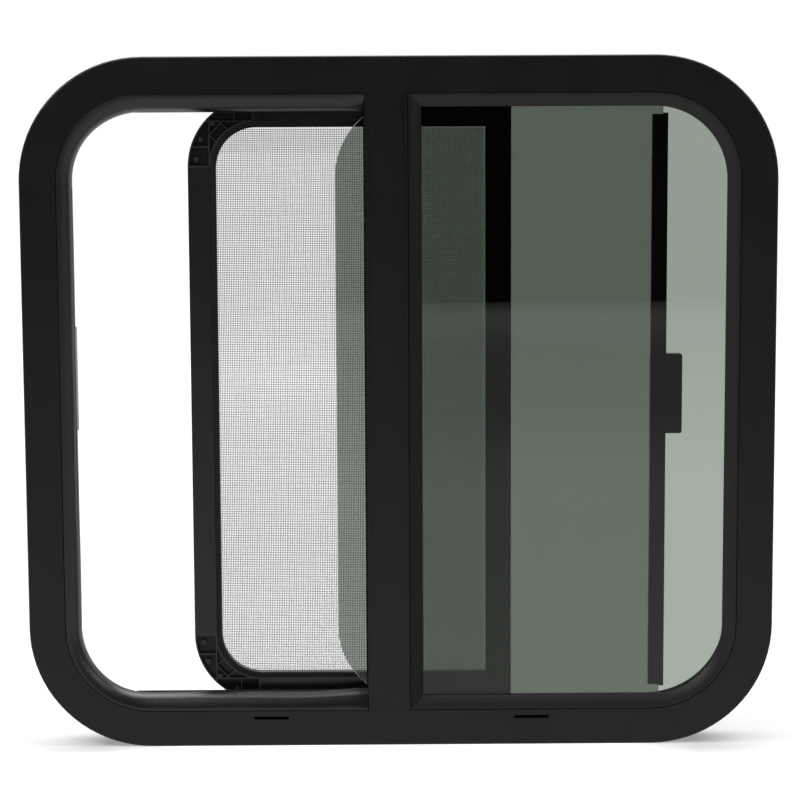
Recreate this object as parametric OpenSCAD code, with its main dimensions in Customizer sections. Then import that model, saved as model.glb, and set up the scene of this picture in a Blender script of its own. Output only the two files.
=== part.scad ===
// Caravan window: a bent aluminium frame that is clamped into a wall cut-out,
// a fixed pane on the right, a frameless sliding sash and a sliding insect screen.
// X runs to the right seen from outside, Y runs into the vehicle, Z is up.
// The origin lies on the flange's back face, at the middle of its bottom run.
// Sections of the frame are drawn as (u, v): u inward from the outer edge, v along Y.

/* [Overall size] */
// Width over the outside flange
out_w = 655; // [600:1:760]
// Height over the outside flange
out_h = 605; // [540:1:720]
// Outer radius of the bent corners
corner_r = 107; // [100:1:116]

/* [Frame extrusion] */
// Overlap of the flange on the wall's outer skin
lap = 22; // [20:0.5:23]
// Reach of the flange's flat face beyond the lap, up to the bead
face_past = 9.6; // [8.6:0.2:10.6]
// Thickness of the flange
flange_t = 2.5; // [2:0.1:3.2]
// Rounding of the flange's outer edge
edge_r = 2; // [1:0.1:2]
// Thickness of the walls and webs
wall_t = 1.5; // [1.2:0.1:1.8]
// Reach of the glazing ledge beyond the flat face
ledge_w = 9.4; // [8.6:0.2:9.8]
// Setback of the middle web's edge from the ledge's edge
divider_in = 3; // [2:0.1:3.6]
// Setback of the rear web's edge from the ledge's edge
rear_in = 3.5; // [2.6:0.1:4.6]
// Width of the channel that the sash slides in
sash_channel = 9; // [8.6:0.1:10]
// Width of the channel that the screen slides in
screen_channel = 13; // [12.4:0.1:14]
// Place of the screen in its channel, 0 at the front and 1 at the rear
screen_set = 0.64; // [0.5:0.02:0.8]
// Depth of the screw race at the rear
race_d = 7.5; // [6:0.5:12]
// Width of the screw race
race_w = 4.5; // [3:0.1:5]

/* [Weep slots] */
// Length of a weep slot
weep_len = 31; // [20:1:50]
// Width of a weep slot
weep_w = 2.8; // [2:0.1:3.4]
// Distance of each weep slot from the window's middle
weep_x = 115; // [60:1:140]

/* [Glass] */
// Thickness of both panes
glass_t = 4; // [3:0.1:4.4]
// Setback of the fixed pane from the flange's back face
glass_setback = 4; // [3.4:0.1:5]
// Thickness of the glazing tape
tape_t = 1; // [0.6:0.1:1.6]
// Cover of the bead over the fixed pane's edge
glass_cover = 9; // [6:0.1:9.4]

/* [Mullion] */
// Width of the mullion's face
mull_w = 36.5; // [30:0.5:44]
// Place of the mullion's middle, from the window's middle
mull_x = -10.8; // [-30:0.2:20]
// Width of the fin that backs the fixed pane
fin_w = 9.5; // [7:0.5:12]
// Distance of the two decorative grooves from the mullion's edges
groove_in = 3; // [2.5:0.1:6]
// Width and depth of a decorative groove
groove_w = 0.6; // [0.4:0.1:0.8]

/* [Bead and seal] */
// Width of the glazing bead
bead_w = 12; // [10:0.2:13]
// Reach of the bead's toe over the flange and the mullion
bead_lap = 1.8; // [1:0.1:2.4]
// Thickness of the bead's toe
toe_t = 0.5; // [0.3:0.1:0.8]
// Width of the soft bulb seal
seal_w = 14.2; // [12:0.2:15]
// Depth of the soft bulb seal
seal_d = 12.6; // [11:0.2:12.8]
// Gap between the seal's ends and the mullion
seal_gap = 2.5; // [1:0.5:5]
// Thickness of the seal's closing lip
lip_t = 1.6; // [1:0.1:2]

/* [Tracks] */
// Length of the track inserts past each end of the sill's straight run
track_past = 17.5; // [5:0.5:20]
// Height of the track inserts' base above the body wall
track_lift = 2.5; // [2.2:0.1:3.5]
// Setback of the screen track's lips from the ledge's edge
screen_lip_in = 3.2; // [2.6:0.1:4.4]
// Running clearance of a sliding piece in its track
run_gap = 0.4; // [0.3:0.05:0.8]
// Height of the guide strips beside the seal
guide_h = 6.4; // [5:0.2:9]
// Thickness of the guide strips
guide_t = 1.7; // [1.2:0.1:1.8]
// Distance of the guide strips' left ends from the track inserts' ends
guide_in = 1; // [0:0.5:60]

/* [Sash] */
// Overlap of the closed sash glass on the mullion
sash_overlap = 23; // [16:0.5:26]
// Share of the sash's travel that it stands open
sash_open = 0.887; // [0.8:0.001:0.95]
// Gap between the fully open latch and the right jamb
open_gap = 9.3; // [6:0.1:15]
// Depth of the sash glass's edges in its tracks
sash_cover = 4.5; // [3.6:0.1:6]
// Radius of the sash glass's left corners
sash_r = 68; // [50:1:72]
// Width of the stile on the sash's right edge
stile_w = 13.4; // [11:0.2:16]
// Thickness of the stile's two legs
leg_t = 1.7; // [1.2:0.1:1.8]
// Solid edge of the stile beyond the glass
stile_back = 4; // [3:0.2:6]
// Distance of the stile's ends from the sash tracks' lips
stile_in = 8.5; // [5:0.5:19]
// Step at the stile's ends
stile_step = 1.2; // [0.6:0.1:3]

/* [Latch] */
// Height of the latch body
latch_h = 70; // [50:1:90]
// Reach of the latch body beyond the stile
latch_out = 14.2; // [10:0.2:16]
// Middle of the latch above the window's middle
latch_z = 8.5; // [-40:0.5:40]
// Rounding of the latch body's corners
latch_r = 2; // [1:0.1:3]
// Depth of the latch body behind the stile
latch_d = 2.6; // [1.5:0.1:2.8]
// Width of the thumb lever
lever_w = 9; // [7:0.5:10]
// Height of the thumb lever
lever_h = 38; // [25:1:45]
// Thickness of the thumb lever and depth of its pocket
lever_t = 2; // [1:0.1:2.4]

/* [Screen] */
// Overlap of the closed screen on the mullion
screen_overlap = 19; // [14:0.5:24]
// Depth of the closed screen's left edge in the jamb, from the screen tracks' lips
screen_jamb_in = 2.3; // [1.3:0.1:3.8]
// Share of the screen's travel that it stands open
screen_open = 0.403; // [0.3:0.001:0.5]
// Gap between the fully open screen and the right jamb
screen_end_gap = 28.5; // [24:0.5:50]
// Depth of the screen's edges in its tracks
screen_cover = 3.8; // [2.8:0.1:4.8]
// Thickness of the screen frame
screen_t = 8; // [6:0.1:8.4]
// Width of the screen's left stile
pull_stile_w = 24.5; // [22:0.5:30]
// Width of the screen's right stile
plain_stile_w = 22.5; // [18:0.5:30]
// Width of the screen's rails
rail_w = 26.5; // [22:0.5:30]
// Outer radius of the screen's left corners
screen_r = 61; // [55:1:62]
// Radius of the mesh opening's left corners
mesh_r = 35; // [30:1:36]
// Width of the spline groove
spline_w = 3.6; // [2.6:0.1:4]
// Depth of the spline groove
groove_d = 3.6; // [3.4:0.1:4]
// Width of the lip between the spline groove and the mesh
mesh_lip = 1.4; // [1:0.1:2]
// Thickness of the mesh cloth
mesh_t = 0.6; // [0.4:0.1:0.8]
// Number of openings across the mesh, which stand for the finer weave
mesh_cols = 6; // [4:1:8]
// Number of openings up the mesh
mesh_rows = 12; // [8:1:12]
// Width of the strands between the openings
strand_w = 1.2; // [0.8:0.1:2]

/* [Corner mouldings] */
// Length of a corner moulding's arm along the rail
arm_x = 58; // [57:1:80]
// Length of a corner moulding's arm along the stile
arm_z = 61; // [57:1:80]
// Thickness of a moulding's rims
rim_t = 1.5; // [1:0.1:2]
// Thickness of a moulding's ribs
rib_t = 1.1; // [0.8:0.1:1.6]
// Depth of a moulding's pockets
pocket_d = 4.5; // [2:0.1:5]
// Radius of the ejector bosses
boss_r = 2.2; // [1.5:0.1:3]

/* [Small pieces] */
// Length of the joint plate on the left jamb
plate_len = 93; // [60:1:140]
// Middle of the joint plate above the window's middle
plate_z = 22; // [-40:1:60]
// Thickness of the joint plate
plate_t = 2.5; // [1.5:0.1:3]
// Reach of the joint plate beyond the ledge's edge
plate_out = 1.5; // [-1:0.1:2.5]
// Width of the mullion's pile seal
pile_w = 6; // [4:0.2:8]
// Length of the screen's finger pull
pull_len = 60; // [40:1:90]
// Width of the screen's finger pull
pull_w = 12; // [8:0.5:14]
// Depth of the screen's finger pull
pull_d = 7; // [4:0.5:9]

/* [Hidden] */
$fn = 64;

// Depths along Y
ledge_v = glass_setback + glass_t + tape_t;
channel_v = ledge_v + wall_t;
divider_v = channel_v + sash_channel;
screen_channel_v = divider_v + wall_t;
rear_v = screen_channel_v + screen_channel;
frame_d = rear_v + wall_t + race_d;
sash_v = channel_v + (sash_channel - glass_t) / 2;
screen_v = screen_channel_v + (screen_channel - screen_t) * screen_set;

// Reaches from the outer edge
face_w = lap + face_past;
ledge_u = face_w + ledge_w;
divider_u = ledge_u - divider_in;
rear_u = ledge_u - rear_in;
sash_lip_u = ledge_u;
screen_lip_u = ledge_u - screen_lip_in;
sash_u = sash_lip_u - sash_cover;
screen_u = screen_lip_u - screen_cover;
stile_u = sash_lip_u + stile_in;
plate_u = ledge_u + plate_out;

// Heights and places
win_z = (out_h - lap) / 2;
half_w = out_w / 2;
half_h = out_h / 2;
seat = 0.3;
cut = 1;
small_gap = 0.15;
bond_gap = 0.1;
mull_x0 = mull_x - mull_w / 2;
mull_x1 = mull_x + mull_w / 2;
bead_u = face_w + bead_w;
seal_end = mull_x0 - seal_gap;
glass_u = bead_u - glass_cover;
foot_w = glass_u - face_w;
glass_x0 = mull_x1 + foot_w;
track_base_u = lap + wall_t + track_lift;
track_half = half_w - corner_r + track_past;
guide_x = guide_in - track_half;
jamb_x = half_w - ledge_u;
spline_in = spline_w + mesh_lip;

// Places of the sash and of the screen along their travel
sash_closed_x = sash_u - half_w;
sash_w = mull_x0 + sash_overlap - sash_closed_x;
sash_travel = jamb_x - open_gap - latch_out - stile_back - sash_w - sash_closed_x;
sash_x = sash_closed_x + sash_open * sash_travel;
bond_x = sash_x + sash_w + bond_gap;
screen_closed_x = screen_lip_u - screen_jamb_in - half_w;
screen_w = mull_x0 + screen_overlap - screen_closed_x;
screen_travel = jamb_x - screen_end_gap - screen_w - screen_closed_x;
screen_x = screen_closed_x + screen_open * screen_travel;
screen_half = half_h - screen_u;
screen_x1 = screen_x + screen_w;
stile_x1 = bond_x + stile_back;
stile_back_v = sash_v + glass_t + leg_t;
lever_x = latch_out / 2 - 1;
lever_r = 2.5;

black_metal = [0.11, 0.11, 0.105];
black_rubber = [0.07, 0.07, 0.07];
black_plastic = [0.09, 0.09, 0.09];
tinted = [0.45, 0.52, 0.46, 0.5];
bare_metal = [0.66, 0.67, 0.68];
mesh_grey = [0.4, 0.4, 0.4, 0.6];

// A rectangle from corner (u0, v0) to corner (u1, v1)
module bar(u0, v0, u1, v1) {
    translate([u0, v0])
        square([u1 - u0, v1 - v0]);
}

// A rectangle with round corners, centred
module round_rect(w, h, r) {
    square([w - 2 * r, h], center = true);
    square([w, h - 2 * r], center = true);
    for (sx = [-1, 1], sy = [-1, 1])
        translate([sx * (w / 2 - r), sy * (h / 2 - r)])
            circle(r);
}

// An outline in the window's plane, from x0 to x1, round at its left corners only
module left_round(x0, x1, h, r) {
    bar(x0 + r, -h / 2, x1, h / 2);
    bar(x0, -h / 2 + r, x1, h / 2 - r);
    for (s = [-1, 1])
        translate([x0 + r, s * (h / 2 - r)])
            circle(r);
}

// Lifts a piece that is drawn about the window's middle
module lift() {
    translate([0, 0, win_z])
        children();
}

// Extrudes an outline of the window's plane from depth v0 to depth v1
module sheet(v0, v1) {
    translate([0, v1, 0])
        rotate([90, 0, 0])
            linear_extrude(v1 - v0)
                children();
}

// A straight run of a section along the sill, from x0 to x1
module sill_run(x0, x1) {
    translate([x1, 0, -half_h])
        rotate([0, -90, 0])
            linear_extrude(x1 - x0)
                children();
}

// The left jamb's straight run of a section
module jamb_run() {
    translate([-half_w, 0, -half_h + corner_r])
        linear_extrude(out_h - 2 * corner_r)
            children();
}

// The lower left bend of a section, from the sill up over the given angle
module bend(angle = 90) {
    translate([-half_w + corner_r, 0, -half_h + corner_r])
        rotate([-90, 0, 0])
            rotate([0, 0, 180 - angle])
                rotate_extrude(angle = angle)
                    translate([corner_r, 0])
                        mirror([1, 0])
                            children();
}

// The left half of a bent section: jamb, two bends and two runs that stop at x_stop
module bent_half(x_stop) {
    jamb_run()
        children();
    for (m = [0, 1])
        mirror([0, 0, m]) {
            bend()
                children();
            sill_run(-half_w + corner_r, x_stop)
                children();
        }
}

// The frame's extrusion: flange, body wall, glazing step, three webs and screw race
module frame_section() {
    bar(edge_r, -flange_t, face_w, 0);
    intersection() {
        translate([edge_r, edge_r - flange_t])
            circle(edge_r);
        bar(0, -flange_t, edge_r, 0);
    }
    bar(lap, -flange_t / 2, lap + wall_t, frame_d);
    bar(face_w - wall_t, -flange_t / 2, face_w, ledge_v + wall_t);
    bar(lap + wall_t / 2, ledge_v, ledge_u, channel_v);
    bar(lap + wall_t / 2, divider_v, divider_u, screen_channel_v);
    bar(lap + wall_t / 2, rear_v, rear_u, rear_v + wall_t);
    bar(lap + wall_t + race_w, rear_v + wall_t / 2, lap + 2 * wall_t + race_w, frame_d);
}

// One weep slot, cut through the flange into the chamber behind it
module weep_slot(x) {
    above_wall = 0.2;
    slot_z = -half_h + lap + wall_t + weep_w / 2 + above_wall;
    straight = weep_len - weep_w;
    translate([x, cut, slot_z])
        rotate([90, 0, 0]) {
            for (s = [-1, 1])
                translate([s * straight / 2, 0, 0])
                    cylinder(d = weep_w, h = flange_t + 2 * cut);
            translate([-straight / 2, -weep_w / 2, 0])
                cube([straight, weep_w, flange_t + 2 * cut]);
        }
}

module outer_frame() {
    color(black_metal)
        lift()
            difference() {
                union()
                    for (m = [0, 1])
                        mirror([m, 0, 0])
                            bent_half(0)
                                frame_section();
                for (s = [-1, 1])
                    weep_slot(s * weep_x);
            }
}

// The splice plate behind the rear web, where the bent extrusion's two ends meet
module frame_joint_plate() {
    plate_v = rear_v + wall_t;
    plate_u0 = lap + 2 * wall_t + race_w + seat;
    plate_r = 1.5;
    color(bare_metal)
        lift()
            translate([-half_w + (plate_u0 + plate_u) / 2, 0, plate_z])
                sheet(plate_v, plate_v + plate_t)
                    round_rect(plate_u - plate_u0, plate_len, plate_r);
}

// The mullion's face box and, shorter, the plate behind it that backs the glass
module mullion() {
    face_half = half_h - face_w - small_gap;
    back_half = half_h - ledge_u - small_gap;
    color(black_metal)
        lift() {
            translate([0, 0, -face_half])
                linear_extrude(2 * face_half)
                    difference() {
                        bar(mull_x0, -flange_t, mull_x1, ledge_v);
                        bar(mull_x0 + wall_t, wall_t - flange_t, mull_x1 - wall_t, ledge_v - wall_t);
                        for (x = [mull_x0 + groove_in, mull_x1 - groove_in])
                            translate([x - groove_w / 2, -flange_t - cut])
                                square([groove_w, groove_w + cut]);
                    }
            translate([0, 0, -back_half])
                linear_extrude(2 * back_half)
                    bar(mull_x0, ledge_v, mull_x1 + fin_w, channel_v);
        }
}

// Pile strip on the mullion's back that brushes the sash glass
module mullion_pile_seal() {
    pile_in = 2;
    pile_half = half_h - ledge_u - guide_h - pile_in;
    color(black_rubber)
        lift()
            translate([mull_x0 + pile_in, channel_v, -pile_half])
                cube([pile_w, sash_v - seat - channel_v, 2 * pile_half]);
}

module fixed_glass() {
    color(tinted)
        lift()
            mirror([1, 0, 0])
                sheet(glass_setback, glass_setback + glass_t)
                    left_round(-half_w + glass_u, -glass_x0, out_h - 2 * glass_u, corner_r - glass_u);
}

// Tape between the fixed pane and the ledge, on three sides
module glazing_tape() {
    tape_in = 1;
    color(black_rubber)
        lift()
            mirror([1, 0, 0])
                bent_half(-glass_x0)
                    bar(glass_u, glass_setback + glass_t, ledge_u - tape_in, ledge_v);
}

// The bead's section: a toe over the flange, a sloping face and a foot beside the pane's edge
module bead_section() {
    toe_slant = 0.3;
    crown_w = 1;
    nose = 0.9;
    nose_lift = 0.7;
    polygon([[face_w, -flange_t], [face_w - bead_lap, -flange_t],
             [face_w - bead_lap + toe_slant, -flange_t - toe_t], [face_w + crown_w, -flange_t - toe_t],
             [bead_u - nose, glass_setback - nose_lift - nose], [bead_u, glass_setback - nose_lift],
             [bead_u, glass_setback], [glass_u, glass_setback],
             [glass_u, ledge_v], [face_w, ledge_v]]);
}

// The bent bead round the fixed pane, mitred against the mullion's bead
module glazing_bead() {
    color(black_rubber)
        lift()
            difference() {
                mirror([1, 0, 0])
                    bent_half(bead_lap - mull_x1)
                        bead_section();
                for (m = [0, 1])
                    mirror([0, 0, m])
                        mitre_wedge();
            }
}

// The wedge below the mitre line at the foot of the mullion's bead
module mitre_wedge() {
    translate([mull_x1, 0, -half_h + face_w])
        rotate([0, -45, 0])
            translate([-bead_w, -flange_t - cut, -small_gap / 2])
                cube([3 * bead_w, ledge_v + flange_t + 2 * cut, bead_w]);
}

// The straight bead on the mullion, mitred at both ends
module mullion_bead() {
    bead_half = half_h - face_w;
    reach = bead_half + bead_lap;
    color(black_rubber)
        lift()
            intersection() {
                translate([mull_x1 - face_w, 0, -reach])
                    linear_extrude(2 * reach)
                        bead_section();
                mitre_prism(bead_half);
            }
}

// A prism that holds what lies between the two mitre lines
module mitre_prism(bead_half) {
    low = small_gap - bead_half;
    near = bead_lap + cut;
    far = 2 * bead_w;
    sheet(-flange_t - cut, ledge_v + cut)
        polygon([[mull_x1 - near, low - near], [mull_x1 + far, low + far],
                 [mull_x1 + far, -low - far], [mull_x1 - near, near - low]]);
}

// The bulb's section: an ellipse that is cut where it sits on the ledge
module bulb_section() {
    bulb_n = 36;
    bulb_sink = 0.2;
    half_u = seal_w / 2;
    half_v = seal_d / 2;
    mid_u = face_w + seat + half_u;
    mid_v = half_v - flange_t + bulb_sink;
    difference() {
        polygon([for (i = [0:bulb_n - 1])
            [mid_u + half_u * cos(360 * i / bulb_n), mid_v + half_v * sin(360 * i / bulb_n)]]);
        bar(0, ledge_v - seat, ledge_u + cut + seat, ledge_v + seal_d);
    }
}

// The seal's lip that closes against the sash glass at the jamb
module lip_section() {
    lip_in = 3;
    root = 2;
    lip_u = face_w + seal_w - lip_in;
    bar(lip_u, ledge_v - root, lip_u + lip_t, sash_v - seat);
}

module bulb_seal() {
    color(black_rubber)
        lift() {
            bent_half(seal_end)
                bulb_section();
            jamb_run()
                lip_section();
        }
}

// A straight strip beside the seal, on the lip of the sash track
module guide_strip() {
    base_x = corner_r - half_w;
    base_h = 1;
    end_r = 3;
    play = 0.2;
    translate([0, 0, -half_h + sash_lip_u]) {
        translate([base_x, ledge_v + play, 0])
            cube([seal_end - base_x, wall_t + guide_t, base_h]);
        sheet(channel_v + play, channel_v + guide_t) {
            translate([guide_x + end_r, 0])
                square([seal_end - guide_x - end_r, guide_h]);
            translate([guide_x, 0])
                square([end_r, guide_h - end_r]);
            translate([guide_x + end_r, guide_h - end_r])
                circle(end_r);
        }
    }
}

module sill_guide_strip() {
    color(black_plastic)
        lift()
            guide_strip();
}

module head_guide_strip() {
    color(black_plastic)
        lift()
            mirror([0, 0, 1])
                guide_strip();
}

// A straight U-shaped insert between two webs, with a slot for what slides in it
module track_insert(v0, v1, lip_u, slot_v, slot_w, floor_u) {
    sill_run(-track_half, track_half)
        difference() {
            bar(track_base_u, v0, lip_u, v1);
            bar(floor_u, slot_v, lip_u + cut, slot_v + slot_w);
        }
}

module sash_track() {
    track_insert(channel_v, divider_v, sash_lip_u, sash_v - run_gap, glass_t + 2 * run_gap,
                 sash_u - run_gap);
}

module screen_track() {
    track_insert(screen_channel_v, rear_v, screen_lip_u, screen_v - run_gap, screen_t + 2 * run_gap,
                 screen_u - run_gap);
}

module sash_sill_track() {
    color(black_plastic)
        lift()
            sash_track();
}

module sash_head_track() {
    color(black_plastic)
        lift()
            mirror([0, 0, 1])
                sash_track();
}

module screen_sill_track() {
    color(black_plastic)
        lift()
            screen_track();
}

module screen_head_track() {
    color(black_plastic)
        lift()
            mirror([0, 0, 1])
                screen_track();
}

module sash_glass() {
    color(tinted)
        lift()
            sheet(sash_v, sash_v + glass_t)
                left_round(sash_x, sash_x + sash_w, out_h - 2 * sash_u, sash_r);
}

// The channel bonded on the sash glass's right edge, stepped at its ends
module sash_stile() {
    stile_half = half_h - stile_u;
    color(black_metal)
        lift() {
            translate([0, 0, -stile_half])
                linear_extrude(2 * stile_half)
                    bar(bond_x, sash_v - leg_t, stile_x1, stile_back_v);
            for (v = [sash_v - leg_t, sash_v + glass_t])
                translate([0, 0, -stile_half + stile_step])
                    linear_extrude(2 * (stile_half - stile_step))
                        bar(stile_x1 - stile_w, v, bond_x, v + leg_t);
        }
}

// Places a piece on the latch's middle line, beyond the stile
module at_latch(along = latch_out / 2) {
    lift()
        translate([stile_x1 + along, 0, latch_z])
            children();
}

// The latch on the stile: a block beyond it and a plate on its inner face
module latch_body() {
    front_v = sash_v - leg_t;
    back_v = stile_back_v + latch_d;
    recess_d = 1;
    recess_side = 2;
    recess_end = 7;
    recess_r = 4;
    plate_w = stile_w + latch_r;
    pocket_gap = 1;
    color(black_plastic)
        difference() {
            union() {
                at_latch()
                    sheet(front_v, back_v)
                        round_rect(latch_out, latch_h, latch_r);
                at_latch(plate_w / 2 - stile_w)
                    sheet(stile_back_v, back_v)
                        round_rect(plate_w, latch_h, latch_r);
                at_latch(0)
                    translate([0, front_v, -latch_h / 2])
                        cube([latch_r, back_v - front_v, latch_h]);
            }
            at_latch()
                sheet(front_v - cut, front_v + recess_d)
                    round_rect(latch_out - 2 * recess_side, latch_h - 2 * recess_end, recess_r);
            at_latch(lever_x)
                sheet(back_v - lever_t, back_v + cut)
                    round_rect(lever_w + 2 * pocket_gap, lever_h + 8 * pocket_gap, lever_r + pocket_gap / 2);
        }
}

// The thumb lever, seated in the pocket on the latch's inner face
module latch_lever() {
    back_v = stile_back_v + latch_d;
    color(black_plastic)
        at_latch(lever_x)
            sheet(back_v - lever_t, back_v)
                round_rect(lever_w, lever_h, lever_r);
}

// A screen member's section: a hollow bar with a spline groove and a low mesh lip
module member_section(w) {
    tube_t = 1.2;
    difference() {
        bar(0, screen_v, w, screen_v + screen_t);
        bar(tube_t, screen_v + tube_t, w - spline_in - tube_t, screen_v + screen_t - tube_t);
        bar(w - spline_in, screen_v - cut, w - mesh_lip, screen_v + groove_d);
        bar(w - mesh_lip - cut / 2, screen_v - cut, w + cut, screen_v + mesh_t);
    }
}

module screen_pull_stile() {
    color(black_metal)
        lift()
            translate([screen_x, 0, arm_z - screen_half])
                linear_extrude(2 * (screen_half - arm_z))
                    member_section(pull_stile_w);
}

module screen_plain_stile() {
    color(black_metal)
        lift()
            translate([screen_x1, 0, rail_w - screen_half])
                linear_extrude(2 * (screen_half - rail_w))
                    mirror([1, 0])
                        member_section(plain_stile_w);
}

module screen_rail() {
    translate([screen_x1 - plain_stile_w, 0, -screen_half])
        rotate([0, -90, 0])
            linear_extrude(screen_w - plain_stile_w - arm_x)
                member_section(rail_w);
}

module screen_sill_rail() {
    color(black_metal)
        lift()
            screen_rail();
}

module screen_head_rail() {
    color(black_metal)
        lift()
            mirror([0, 0, 1])
                screen_rail();
}

// The plan of a corner moulding, inset by d from all its edges; its outer corner is (0, 0)
module corner_plan(d) {
    difference() {
        intersection() {
            opening_plan(d, d, screen_r - d);
            bar(d, d, arm_x - d, arm_z - d);
        }
        opening_plan(pull_stile_w - spline_in - d, rail_w - spline_in - d, mesh_r + spline_in + d);
    }
}

// The rounded corner of an opening that starts at (x, z)
module opening_plan(x, z, r) {
    far = 2 * arm_z;
    bar(x + r, z, far, far);
    bar(x, z + r, far, far);
    translate([x + r, z + r])
        circle(r);
}

// The ribs in a corner moulding's pockets; ribs and bosses are placed as shares of its arms
module corner_ribs() {
    stile_line = pull_stile_w - spline_in;
    rail_line = rail_w - spline_in;
    rib_share = 0.7;
    bosses = [[0.13, 0.885], [0.2, 0.6], [0.38, 0.38], [0.64, 0.19]];
    translate([stile_line - rib_t, 0])
        square([rib_t, arm_z]);
    translate([0, rail_line - rib_t])
        square([arm_x, rib_t]);
    translate([arm_x * rib_share, 0])
        square([rib_t, rail_line]);
    translate([0, arm_z * rib_share])
        square([stile_line, rib_t]);
    intersection() {
        bar(stile_line - rib_t, rail_line - rib_t, arm_x, arm_z);
        slanted_ribs();
    }
    for (boss = bosses)
        translate([arm_x * boss[0], arm_z * boss[1]])
            circle(boss_r);
}

// Two parallel ribs across the bend, at 45 degrees, and the chord that joins them
module slanted_ribs() {
    rib_low = 4.8;
    rib_high = 9.6;
    chord_r = 49;
    translate([screen_r, screen_r])
        rotate(225) {
            for (offset = [-rib_high, rib_low])
                translate([0, offset - rib_t / 2])
                    square([2 * screen_r, rib_t]);
            translate([chord_r, -rib_high])
                square([rib_t, rib_high + rib_low]);
        }
}

// A corner moulding: a rear plate, a spline groove round the mesh and pockets with ribs
module corner_moulding() {
    translate([screen_x, 0, -screen_half])
        difference() {
            sheet(screen_v, screen_v + screen_t)
                union() {
                    corner_plan(0);
                    groove_band();
                }
            sheet(screen_v - cut, screen_v + pocket_d)
                difference() {
                    corner_plan(rim_t);
                    corner_ribs();
                }
            sheet(screen_v - cut, screen_v + groove_d)
                groove_plan(0);
            sheet(screen_v - cut, screen_v + mesh_t)
                groove_plan(mesh_lip + cut);
        }
}

// The part of a corner moulding between its pockets and the mesh
module groove_band() {
    intersection() {
        difference() {
            opening_plan(pull_stile_w - spline_in - cut, rail_w - spline_in - cut, mesh_r + spline_in + cut);
            opening_plan(pull_stile_w, rail_w, mesh_r);
        }
        bar(0, 0, arm_x, arm_z);
    }
}

// The spline groove in a corner moulding, widened towards the mesh by the given amount
module groove_plan(wider) {
    intersection() {
        difference() {
            opening_plan(pull_stile_w - spline_in, rail_w - spline_in, mesh_r + spline_in);
            opening_plan(pull_stile_w - mesh_lip + wider, rail_w - mesh_lip + wider,
                         mesh_r + mesh_lip - wider);
        }
        bar(-cut, -cut, arm_x + cut, arm_z + cut);
    }
}

module screen_corner_lower() {
    color(black_plastic)
        lift()
            corner_moulding();
}

module screen_corner_upper() {
    color(black_plastic)
        lift()
            mirror([0, 0, 1])
                corner_moulding();
}

// The square block that joins the plain stile to a rail
module corner_block() {
    translate([screen_x1 - plain_stile_w, screen_v, -screen_half])
        difference() {
            cube([plain_stile_w, screen_t, rail_w]);
            translate([-cut, -cut, rail_w - spline_in])
                cube([spline_in + cut, groove_d + cut, spline_w]);
            translate([mesh_lip, -cut, rail_w - spline_in])
                cube([spline_w, groove_d + cut, spline_in + cut]);
            translate([-cut, -cut, rail_w - mesh_lip - cut / 2])
                cube([mesh_lip + cut * 1.5, mesh_t + cut, mesh_lip + 2 * cut]);
        }
}

module screen_block_lower() {
    color(black_plastic)
        lift()
            corner_block();
}

module screen_block_upper() {
    color(black_plastic)
        lift()
            mirror([0, 0, 1])
                corner_block();
}

// The mesh outline, grown by g from the opening's edge
module mesh_plan(g) {
    left_round(screen_x + pull_stile_w - g, screen_x1 - plain_stile_w + g,
               2 * (screen_half - rail_w + g), mesh_r + g);
}

// The strands between the mesh's openings, longer than the mesh
module mesh_strands() {
    x0 = screen_x + pull_stile_w;
    z0 = rail_w - screen_half;
    pitch_x = (screen_x1 - plain_stile_w - x0) / mesh_cols;
    pitch_z = -2 * z0 / mesh_rows;
    for (i = [1:mesh_cols - 1])
        translate([x0 + i * pitch_x - strand_w / 2, -half_h])
            square([strand_w, out_h]);
    for (j = [1:mesh_rows - 1])
        translate([-half_w, z0 + j * pitch_z - strand_w / 2])
            square([out_w, strand_w]);
}

// The mesh: a hem that lies on the frame's lip and a plain grid of strands
module screen_mesh() {
    color(mesh_grey)
        lift()
            sheet(screen_v, screen_v + mesh_t)
                difference() {
                    mesh_plan(mesh_lip);
                    difference() {
                        mesh_plan(-strand_w / 2);
                        mesh_strands();
                    }
                }
}

// The cord that holds the mesh in its groove
module screen_spline() {
    spline_gap = 0.1;
    sink = 0.4;
    color(black_rubber)
        lift()
            sheet(screen_v + sink, screen_v + groove_d - sink)
                difference() {
                    mesh_plan(spline_in - spline_gap);
                    mesh_plan(mesh_lip + spline_gap);
                }
}

// The finger pull on the inner face of the screen's left stile
module screen_pull() {
    grip_t = 2;
    pull_in = 3;
    pull_r = 3;
    color(black_plastic)
        lift()
            translate([screen_x + pull_stile_w / 2 + pull_in, 0, 0])
                sheet(screen_v + screen_t, screen_v + screen_t + pull_d)
                    difference() {
                        round_rect(pull_w, pull_len, pull_r);
                        translate([grip_t, 0])
                            round_rect(pull_w - grip_t, pull_len - 4 * grip_t, grip_t);
                    }
}

outer_frame();
frame_joint_plate();
mullion();
mullion_pile_seal();
fixed_glass();
glazing_tape();
glazing_bead();
mullion_bead();
bulb_seal();
head_guide_strip();
sill_guide_strip();
sash_head_track();
sash_sill_track();
screen_head_track();
screen_sill_track();
sash_glass();
sash_stile();
latch_body();
latch_lever();
screen_pull_stile();
screen_plain_stile();
screen_head_rail();
screen_sill_rail();
screen_corner_upper();
screen_corner_lower();
screen_block_upper();
screen_block_lower();
screen_spline();
screen_mesh();
screen_pull();
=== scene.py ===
"""Caravan window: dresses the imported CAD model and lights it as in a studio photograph.

All sizes are in metres, in the part's own frame: X runs to the right seen from outside,
Y runs into the vehicle and Z is up. The origin lies on the flange's back face.
"""

import logging
import math
import random
from dataclasses import dataclass
from enum import Enum
from typing import Callable, Sequence

import bmesh
import bpy
from mathutils import Matrix, Vector


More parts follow.
